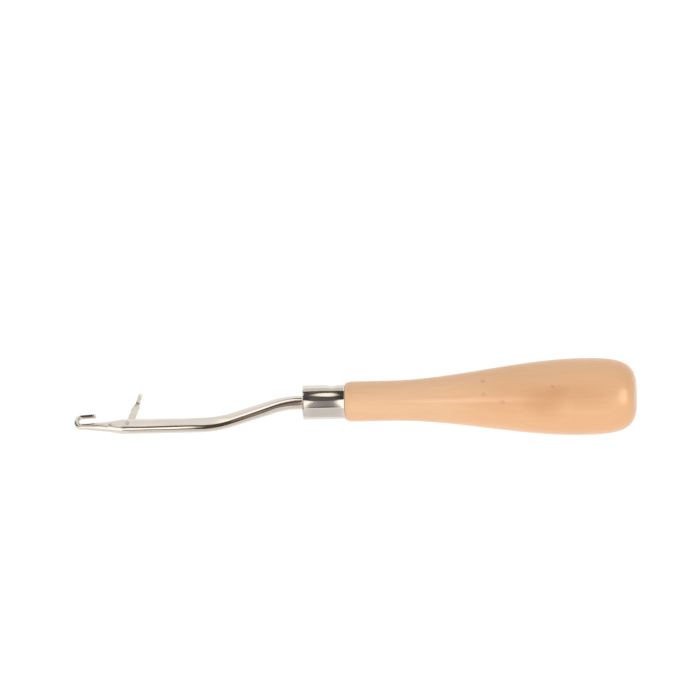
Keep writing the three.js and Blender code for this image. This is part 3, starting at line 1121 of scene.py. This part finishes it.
@dataclass
class LatchStamping:
    """Latch: a stamped blade with an eye, a stepped neck and a small hollow spoon.

    Each row of painted shade is one dark spot, put where the blade, its neck and the spoon are
    shaded: its distance from the pivot, its height above the blade's middle, its radius and its strength.
    """

    thickness: float = 0.9
    height: float = 1.96
    behind_pivot: float = 0.32
    neck_from_pivot: float = 6.3
    neck_step: float = 0.65
    neck_height: float = 1.12
    past_tip: float = 0.05
    lean: float = math.radians(6.7)
    spoon_depth: float = 1.12
    spoon_width: float = 1.5
    spoon_neck: float = 1.1
    hollow_depth: float = 0.5
    spoon_rim: float = 0.16
    eye_radius: float = 0.56
    edge: float = 0.12
    flare_before: float = 0.5
    flare_after: float = 0.9
    tip_bluntness: float = 0.5
    tip_width_share: float = 0.5
    tip_height_share: float = 0.72
    corner_share: float = 0.6
    end_half_height: float = 0.1
    rest_angle: float = math.radians(65.5)
    ring_step: float = 0.12
    face_points: int = 17
    side_points: int = 7
    corner_points: int = 4
    finish: BrightMetal = BrightMetal(
        "latch_steel", (0.74, 0.68, 0.605), (0.66, 0.6, 0.53), 0.2, 0.04, 0.12
    )
    label: PieceLabel = PieceLabel("latch_stamping", "latch", Body.LATCH, Slot.LATCH)
    # Dark spots of painted shade on the latch's blade, neck and spoon.
    painted_shade: Sequence[tuple[float, float, float, float]] = (
        (8.0, 0.1, 2.0, 0.16),
        (6.7, 0.4, 0.5, 0.8),
        (5.9, 0.4, 0.6, 0.6),
        (4.2, 0.95, 0.5, 0.5),
    )

    def outline(self, half_width: float, half_height: float, edge: float) -> list[Vector]:
        """Returns the outline of a rounded box as (across, up) points, from its upper side.

        Args:
            half_width: Half its width.
            half_height: Half its height.
            edge: Radius of its corners.

        Returns:
            The points, in one turn.
        """
        width, height = half_width - edge, half_height - edge
        corners = [(width, height, 90), (width, -height, 0), (-width, -height, -90), (-width, height, 180)]
        counts = [self.side_points, self.face_points, self.side_points, self.face_points]
        points = []
        for (x, y, start), count, (end_x, end_y, end_start) in zip(
            corners, counts, corners[1:] + corners[:1]
        ):
            points += arc_points(Vector((x, y)), edge, start, start - 90, self.corner_points)
            from_point = points[-1]
            angle = math.radians(end_start)
            to_point = Vector((end_x + edge * math.cos(angle), end_y + edge * math.sin(angle)))
            for i in range(1, count - 1):
                points.append(from_point.lerp(to_point, i / (count - 1)))
        return points

    def ring(self, along: float, length: float) -> list[Vector]:
        """Returns one ring of the latch in its own frame, with X from the pivot to the tip.

        Args:
            along: Distance of the ring from the pivot.
            length: Length of the spoon.

        Returns:
            The ring's points.
        """
        spoon = along - self.neck_from_pivot
        half_height = self.height / 2
        half_width = self.thickness / 2
        shift = 0.0
        if along < 0:
            half_height = math.sqrt(max(half_height**2 - along**2, self.end_half_height**2))
        if spoon > -2 * self.neck_step:
            upper = mixed(self.height, self.neck_height, smooth_share(spoon, -2 * self.neck_step, 0)) / 2
            lower = mixed(self.height, self.neck_height, smooth_share(spoon, -self.neck_step, 0)) / 2
            half_height = (upper + lower) / 2
            shift = (upper - lower) / 2
        if spoon > -self.flare_before:
            open_share = smooth_share(spoon, -self.flare_before, self.flare_after)
            half_width = mixed(self.thickness, self.spoon_width, open_share) / 2
        if spoon > 0:
            half_height = self.spoon_depth / 2
            from_tip = length - spoon
            if from_tip < self.tip_bluntness:
                round_off = math.sqrt(max(1 - (1 - from_tip / self.tip_bluntness) ** 2, 0))
                half_width *= mixed(self.tip_width_share, 1, round_off)
                half_height *= mixed(self.tip_height_share, 1, round_off)
        edge = min(self.edge, half_height * self.corner_share, half_width * self.corner_share)
        points = self.outline(half_width, half_height, edge)
        ring = []
        for point in points:
            up = point.y + shift
            if spoon > 0 and point.y > 0:
                up -= self.hollow_at(spoon, point.x, length)
            ring.append(self.leaned(spoon, along, up, point.x))
        return ring

    def hollow_at(self, spoon: float, across: float, length: float) -> float:
        """Returns the depth of the spoon's hollow at a place in it."""
        half_length = (length - self.spoon_neck) / 2
        middle = length - half_length - self.spoon_rim
        half_width = self.spoon_width / 2 - self.spoon_rim
        far = ((spoon - middle) / half_length) ** 2 + (across / half_width) ** 2
        return self.hollow_depth * math.sqrt(max(1 - far, 0))

    def leaned(self, spoon: float, along: float, up: float, across: float) -> Vector:
        """Returns a point of the latch with the spoon's lean."""
        if spoon <= 0:
            return Vector((along, up - self.behind_pivot, across))
        lean_share = smooth_share(spoon, 0, self.neck_step) * self.lean
        x = self.neck_from_pivot + spoon * math.cos(self.lean) - up * math.sin(lean_share)
        y = spoon * math.sin(self.lean) + up * math.cos(lean_share)
        return Vector((x, y - self.behind_pivot, across))

    def build(self, tool: ToolFrame, pivot: Vector, reach: float) -> None:
        """Builds and dresses the latch.

        Args:
            tool: The tool's frame.
            pivot: Point that the latch turns on, in the plane of the bends.
            reach: Distance from the pivot to the near side of the hook's ball.
        """
        length = reach + self.past_tip - self.neck_from_pivot
        start = -self.height / 2
        total = self.neck_from_pivot + length - start
        steps = math.ceil(total / self.ring_step)
        places = [start + total * i / steps for i in range(steps + 1)]
        rounded = [start * math.cos(math.radians(angle)) for angle in range(8, 88, 8)]
        places = sorted({round(place, 4) for place in places + rounded})
        mesh = swept([self.ring(place, length) for place in places])
        mesh = drilled(mesh, self.eye_radius, Vector((0, 0)), 3 * self.thickness)
        stand = Matrix.Translation((*pivot, 0)) @ Matrix.Rotation(self.rest_angle, 4, "Z")
        bmesh.ops.transform(mesh, matrix=stand, verts=mesh.verts)
        # The latch's dark spots are painted shade on its face.
        spots = []
        for along, up, radius, strength in self.painted_shade:
            centre = stand @ Vector((along, up - self.behind_pivot, self.thickness / 2))
            spots.append(PaintedShadeSpot(centre, radius, strength))
        finish_piece(mesh, self.label, tool, self.finish.material(tool, spots))


@dataclass(frozen=True)
class Station:
    """One place along a bent card.

    Attributes:
        along: Its place along the tool.
        start: Angle of the card's first edge from straight up, in degrees away from the latch's side.
        end: Angle of the card's other edge.
        bright: How bright the card is there, where 1 is its own colour.
    """

    along: float
    start: float
    end: float
    bright: float = 1.0


def route(*rows: Sequence[float]) -> tuple[Station, ...]:
    """Returns a card's stations, from rows of their values in order."""
    return tuple(Station(*row) for row in rows)


@dataclass(frozen=True)
class BentCard:
    """A card bent round the tool that is only seen in reflections.

    Attributes:
        name: Its name.
        colour: Its colour.
        stations: Its places along the tool, from one end to the other.
        distance: Its distance from its own axis.
        axis_drop: Distance of that axis from the handle's, away from the latch's side.
        steps: Number of its faces round the tool.
    """

    name: str
    colour: Colour
    stations: Sequence[Station]
    distance: float = 30.0
    axis_drop: float = 3.0
    steps: int = 12

    def build(self, tool: ToolFrame, roll: float) -> None:
        """Builds the card.

        Args:
            tool: The tool's frame.
            roll: Angle of the side that faces up from the tool's Z axis, in degrees.
        """
        mesh = bmesh.new()
        columns = len(self.stations) - 1
        bmesh.ops.create_grid(mesh, x_segments=columns, y_segments=self.steps, size=0.5)
        shade = mesh.verts.layers.float.new("shade")
        for vert in mesh.verts:
            station = self.stations[round((vert.co.x + 0.5) * columns)]
            angle = math.radians(mixed(station.start, station.end, vert.co.y + 0.5) - roll)
            away = -self.axis_drop - self.distance * math.sin(angle)
            vert.co = (station.along, away, self.distance * math.cos(angle))
            vert[shade] = station.bright
        bmesh.ops.transform(mesh, matrix=tool.matrix(), verts=mesh.verts)
        stage_card(linked_object(self.name, mesh), self.colour)


@dataclass(frozen=True)
class SoftDisc:
    """A bright disc, fading towards its edge, that the varnish reflects.

    Attributes:
        name: Its name.
        along: Place along the handle that shows it.
        tilt: Its angle from straight up, in degrees towards the butt.
        side: Its angle from straight up, in degrees away from the latch's side.
        radius: Its radius.
        bright: How bright its middle is, where 1 is white.
        distance: Its distance from the handle.
        colour: Its colour.
    """

    name: str
    along: float
    tilt: float
    side: float
    radius: float
    bright: float
    distance: float = 300.0
    colour: Colour = (1.0, 0.98, 0.95)

    def build(self, tool: ToolFrame) -> None:
        """Builds the disc, facing the place that shows it."""
        mesh = bmesh.new()
        bmesh.ops.create_circle(mesh, cap_ends=True, cap_tris=True, radius=self.radius, segments=32)
        shade = mesh.verts.layers.float.new("shade")
        for vert in mesh.verts:
            vert[shade] = self.bright * (1 - vert.co.length / self.radius)
        tilt, side = math.radians(self.tilt), math.radians(self.side)
        away = Vector((math.tan(tilt), -math.tan(side), 1)).normalized()
        target = tool.matrix() @ Vector((self.along, 0, 0))
        place = Matrix.Translation(target + away * self.distance * METRE)
        facing = away.to_track_quat("Z", "Y").to_matrix().to_4x4()
        bmesh.ops.transform(mesh, matrix=place @ facing @ Matrix.Scale(METRE, 4), verts=mesh.verts)
        stage_card(linked_object(self.name, mesh), self.colour)


def stage_card(card: bpy.types.Object, colour: Colour) -> None:
    """Makes a card glow by its shade, seen only in reflections.

    Args:
        card: The card, whose points hold their shade.
        colour: Its colour.
    """
    made = bpy.data.materials.new(card.name)
    made.cycles.emission_sampling = "NONE"
    pen = NodePen(made)
    shade = pen.add("Attribute", attribute_name="shade").outputs["Fac"]
    light = pen.add("Emission", {"Color": (*colour, 1), "Strength": shade})
    pen.add("OutputMaterial", {"Surface": light.outputs[0]})
    card.data.materials.append(made)
    card.visible_camera = False
    card.visible_diffuse = False
    card.visible_shadow = False
    card.visible_transmission = False


METAL_CARDS = (
    BentCard(
        "brown_band",
        (0.12, 0.088, 0.07),
        route(
            (-14.6, -50, 31), (-16.4, -49, 46), (-18, -42, 50), (-20, -35, 52), (-23, -24, 54),
            (-26, -15, 59), (-29, -7, 60), (-33, 0, 60, 0.75), (-37, 5, 61, 0.75), (-42, 0, 62, 0.9),
            (-47, -4, 58, 0.9), (-54, -2, 59), (-61, 0, 59, 1.1), (-65.5, -1, 59, 1.3),
            (-67.5, 0, 58, 2.0), (-69, 1, 54, 4.0),
        ),
    ),
    BentCard(
        "brown_streak",
        (0.33, 0.27, 0.22),
        route(
            (-14.6, -14, 31), (-16.4, -12, 46), (-18, -2, 44, 0.8), (-20, 4, 46), (-23, 4, 42, 0.95),
            (-26, 6, 36, 0.9), (-29, 8, 30, 0.85), (-32, 6, 16, 0.5),
        ),
        distance=29.5,
    ),
    BentCard(
        "stem_light",
        (1.0, 0.96, 0.92),
        route(
            (-43, 24, 34, 0.2), (-45.5, 20, 38, 0.6), (-47.5, 17, 41, 1.4), (-51, 20, 42, 1.8),
            (-54, 22, 45, 1.7), (-61, 25, 44, 1.75), (-66, 20, 48, 1.5), (-69, 28, 50, 1.4),
        ),
        distance=29.0,
    ),
    BentCard(
        "stem_low",
        (0.33, 0.26, 0.22),
        route(
            (-46.5, 46, 60), (-66, 50, 59),
        ),
        distance=29.2,
    ),
    BentCard(
        "stem_top",
        (1.0, 0.98, 0.96),
        route(
            (-45, -98, -60, 1.1), (-50, -98, -34, 1.3), (-67, -98, -34, 1.25),
        ),
    ),
    BentCard(
        "wire_light",
        (1.0, 0.975, 0.94),
        route(
            (-14.6, -63, -51, 1.5), (-18, -66, -42, 1.45), (-20, -65, -35, 1.45), (-23, -51, -24, 1.55),
            (-26, -46, -15, 1.6), (-29, -42, -7, 1.6), (-32, -37, 0, 1.55), (-35, -29, 4, 1.5),
            (-38.5, -24, 5, 1.3), (-41.5, -15, 1, 1.05), (-47, -12, -4, 1.05), (-54, -11, -4, 1.05),
            (-61, -10, -1, 1.1), (-66, -9, -4, 1.1),
        ),
    ),
    BentCard(
        "wire_line",
        (0.98, 0.97, 0.96),
        route(
            (-14.6, -88, -64, 0.2), (-18.2, -84, -68, 0.33), (-22, -77, -64, 0.56),
            (-27, -68, -54, 0.74), (-32, -56, -42, 0.78), (-38, -40, -28, 0.88),
        ),
    ),
    BentCard(
        "nose_line",
        (0.09, 0.072, 0.062),
        route(
            (-68.5, 0, 14, 1.3), (-72, 2, 13, 1.2), (-75.3, 8, 17), (-76.6, 1, 11), (-77.6, -7, 4),
            (-78.2, -14, -8, 2.6), (-79.3, -21, -15, 2.6), (-80.9, -31, -19), (-82.4, -47, -29),
            (-83.5, -68, -44), (-84.6, -68, -44),
        ),
        distance=29.0,
    ),
    BentCard(
        "nose_light",
        (1.0, 0.975, 0.945),
        route(
            (-69, 29, 50, 1.45), (-72, 27, 52, 1.5), (-75, 22, 60, 1.5), (-77, 12, 62, 1.5),
            (-78.5, 6, 58, 1.5), (-80, 2, 54, 1.45), (-82, -2, 50, 1.45), (-86, 2, 46, 1.45),
            (-94, 10, 46, 1.45),
        ),
    ),
    BentCard(
        "hook_line",
        (0.075, 0.062, 0.054),
        route(
            (-80, -19, -13), (-84, -13, -4), (-88, -8, 8), (-91, -18, 14), (-95, -28, 18),
            (-105, -34, 19), (-116, -42, 12), (-130, -62, 0), (-146, -80, -18),
        ),
        distance=29.0,
    ),
    BentCard(
        "arm_flag",
        (0.07, 0.06, 0.05),
        route(
            (-77.9, -112, -5), (-74.4, -112, -5),
        ),
        distance=2.0,
        axis_drop=2.75,
    ),
    BentCard(
        "arm_shade",
        (0.3, 0.24, 0.19),
        route(
            (-77.4, -5, 20), (-76.9, -5, 45), (-74.2, -5, 45),
        ),
        distance=2.0,
        axis_drop=2.75,
    ),
    BentCard(
        "under_grey",
        (0.87, 0.83, 0.81),
        route(
            (-13.5, 60, 110), (-20, 60, 109), (-66, 66, 101),
        ),
        distance=31.0,
    ),
    BentCard(
        "ferrule_flag",
        (0.11, 0.103, 0.1),
        route(
            (-14.5, -75, -21, 0.6), (-13.2, -76, -18, 0.65), (-11.5, -77, -12, 1.2),
            (-9, -78, -11, 1.15), (-4.6, -77, -11, 0.95), (-3.7, -77, -17, 0.55), (-2.6, -76, -19, 0.5),
            (1.4, -72, -20, 0.6),
        ),
    ),
    BentCard(
        "ferrule_light",
        (1.0, 0.935, 0.83),
        route(
            (-12.2, -51, -47, 0.2), (-11, -55, -46, 0.7), (-10, -58, -44, 1.2), (-9, -60.5, -42.5, 1.4),
            (-7, -62, -40, 1.4), (-5.6, -62, -40, 1.4), (-4.8, -59, -42, 1.2), (-4, -53, -45, 0.6),
            (-3.4, -50, -46, 0.2),
        ),
        distance=29.0,
    ),
    BentCard(
        "ferrule_over",
        (0.8, 0.765, 0.71),
        route(
            (-14, -112, -77), (-1.6, -112, -77),
        ),
    ),
    BentCard(
        "ferrule_low",
        (0.78, 0.75, 0.735),
        route(
            (-13.5, 98, 121), (-1.4, 98, 121),
        ),
        distance=20.0,
        axis_drop=0.0,
    ),
    BentCard(
        "ferrule_under",
        (0.8, 0.785, 0.785),
        route(
            (-14, 38, 112, 1.12), (-12.2, 37, 112), (-4.2, 37, 112), (-2.8, 37, 112, 1.12),
        ),
        distance=29.5,
    ),
    BentCard(
        "left_end_light",
        (1.0, 0.985, 0.97),
        route(
            (-14.5, -20, 36, 1.5), (-13.6, -18, 28, 1.55), (-13, -16, 14, 1.55), (-12.4, -14, 4, 1.5),
            (-11.6, -12, -4, 1.5), (-10.8, -11, -8, 1.2),
        ),
    ),
    BentCard(
        "right_end_light",
        (1.0, 0.985, 0.97),
        route(
            (-4.8, -11, -7, 1.2), (-4.1, -15, 0, 1.5), (-3.4, -18, 20, 1.6), (-2.6, -20, 36, 1.6),
            (1.4, -20, 37, 1.35),
        ),
    ),
    BentCard(
        "ferrule_arch",
        (0.42, 0.375, 0.39),
        route(
            (-13, 12, 22, 1.5), (-12.4, 2, 22, 1.2), (-11.6, -6, 22, 1.05), (-10.4, -13, 22, 0.95),
            (-8, -13, 22, 0.8), (-5.2, -13, 22, 0.8), (-4.6, -8, 22, 1.3), (-4.1, 4, 22, 2.0),
            (-3.6, 14, 22, 2.2),
        ),
        distance=29.5,
    ),
    BentCard(
        "ferrule_line",
        (0.19, 0.15, 0.16),
        route(
            (-13.4, 21, 31, 3.0), (-12.2, 20, 31, 1.5), (-11, 20, 31, 1.2), (-9, 20, 31, 0.8),
            (-5.2, 20, 31, 0.85), (-4.4, 20, 31, 2.4), (-3.4, 20, 31, 4.0),
        ),
        distance=29.5,
    ),
)


@dataclass
class Studio:
    """White table, soft lamp, and the cards and discs seen in reflections.

    The table's and the lamp's lengths are in metres and the lamp's angle is in degrees. The table
    is lit by its albedo, except where it is seen: there it glows and shows a share of the light.
    """

    table_half: float = 3.0
    table_drop: float = 0.00002
    table_albedo: float = 0.86
    glow: float = 0.88
    lit_share: float = 0.22
    sky: float = 0.79
    key_power: float = 1.75
    key_distance: float = 0.8
    key_angle: float = 36.0
    key_size: float = 0.5
    cards: Sequence[BentCard] = METAL_CARDS
    discs: Sequence[SoftDisc] = (
        SoftDisc("belly_disc", 34.0, -24.0, 6.0, 80.0, 6.0),
        SoftDisc("butt_disc", 81.0, 52.0, 2.0, 190.0, 8.5),
    )

    def seen_share(self, pen: NodePen) -> bpy.types.NodeSocket:
        """Returns 1 for rays that show the background: camera, glossy and transmission."""
        path = pen.add("LightPath").outputs
        glossy = pen.math("MAXIMUM", path["Is Camera Ray"], path["Is Glossy Ray"])
        return pen.math("MAXIMUM", glossy, path["Is Transmission Ray"])

    def table(self) -> None:
        """Builds the white table, which keeps a faint shadow."""
        mesh = bmesh.new()
        bmesh.ops.create_grid(mesh, x_segments=1, y_segments=1, size=self.table_half)
        drop = Matrix.Translation((0, 0, -self.table_drop))
        bmesh.ops.transform(mesh, matrix=drop, verts=mesh.verts)
        top = linked_object("table", mesh)
        made = bpy.data.materials.new("white_table")
        pen = NodePen(made)
        matt = pen.add("BsdfDiffuse", {"Color": (*[self.table_albedo] * 3, 1)})
        shaded = pen.add("BsdfDiffuse", {"Color": (*[self.lit_share] * 3, 1)})
        glow = pen.add("Emission", {"Strength": self.glow})
        shown = pen.add("AddShader", {0: shaded.outputs[0], 1: glow.outputs[0]})
        either = pen.add("MixShader", {0: self.seen_share(pen), 1: matt.outputs[0], 2: shown.outputs[0]})
        pen.add("OutputMaterial", {"Surface": either.outputs[0]})
        top.data.materials.append(made)

    def world(self) -> None:
        """Sets the white surroundings."""
        world = bpy.data.worlds.new("white_room")
        bpy.context.scene.world = world
        pen = NodePen(world)
        strength = pen.spread(self.seen_share(pen), 0, 1, self.sky, 1.0)
        light = pen.add("Background", {"Color": (1, 1, 1, 1), "Strength": strength})
        pen.add("OutputWorld", {"Surface": light.outputs[0]})

    def key_lamp(self) -> None:
        """Hangs the soft lamp on the side away from the latch's opening."""
        lamp = bpy.data.lights.new("key_lamp", "AREA")
        lamp.shape = "DISK"
        lamp.size = self.key_size
        lamp.energy = self.key_power
        holder = bpy.data.objects.new("key_lamp", lamp)
        bpy.context.scene.collection.objects.link(holder)
        angle = math.radians(self.key_angle)
        away = Vector((0, -math.sin(angle), math.cos(angle)))
        holder.location = away * self.key_distance
        holder.rotation_euler = away.to_track_quat("Z", "Y").to_euler()
        holder.visible_glossy = False
        holder.visible_camera = False

    def build(self, tool: ToolFrame, roll: float) -> None:
        """Builds the studio and sets how the picture is developed.

        Args:
            tool: The tool's frame.
            roll: Angle of the side that faces up from the tool's Z axis, in degrees.
        """
        self.table()
        self.world()
        self.key_lamp()
        for card in self.cards:
            card.build(tool, roll)
        for disc in self.discs:
            disc.build(tool)
        bpy.context.scene.view_settings.view_transform = "Standard"
        log.info("studio: %d cards and %d discs", len(self.cards), len(self.discs))


@dataclass
class TopCamera:
    """Long-lens camera straight above the table.

    Attributes:
        middle: Point of the table in the picture's middle, in millimetres.
        view_width: Width of the picture at the tool's height, in millimetres.
        turn: Turn of the camera about the vertical, in degrees.
        distance: Distance from the tool, in metres.
        tool_height: Height at which the width holds, in millimetres.
        sensor: Width of the sensor, in millimetres.
        nearest: Least distance seen, in metres.
        farthest: Greatest distance seen, in metres.
    """

    middle: tuple[float, float] = (-3.979, 18.020)
    view_width: float = 198.22
    turn: float = -1.27
    distance: float = 5.0
    tool_height: float = 6.3
    sensor: float = 36.0
    nearest: float = 0.1
    farthest: float = 30.0

    def build(self) -> None:
        """Makes the scene's camera."""
        data = bpy.data.cameras.new("top_camera")
        data.sensor_width = self.sensor
        data.lens = self.sensor * self.distance / (self.view_width * METRE)
        data.clip_start = self.nearest
        data.clip_end = self.farthest
        camera = bpy.data.objects.new("top_camera", data)
        bpy.context.scene.collection.objects.link(camera)
        height = self.distance + self.tool_height * METRE
        camera.location = (self.middle[0] * METRE, self.middle[1] * METRE, height)
        camera.rotation_euler = (0, 0, math.radians(self.turn))
        bpy.context.scene.camera = camera


def main() -> None:
    """Builds the camera, the pieces and the studio."""
    logging.basicConfig(level=logging.INFO, format="%(name)s: %(message)s")
    TopCamera().build()
    handle = TurnedHandle()
    tool = ToolFrame.from_record(handle.length)
    shaft = HookShaft()
    handle.build(tool)
    FerruleCup().build(tool, handle.roll)
    shaft.build(tool)
    PivotRivet().build(tool, shaft.pivot)
    LatchStamping().build(tool, shaft.pivot, (shaft.tip - shaft.pivot).length - shaft.ball_radius)
    Studio().build(tool, handle.roll)


if __name__ == "__main__":
    main()
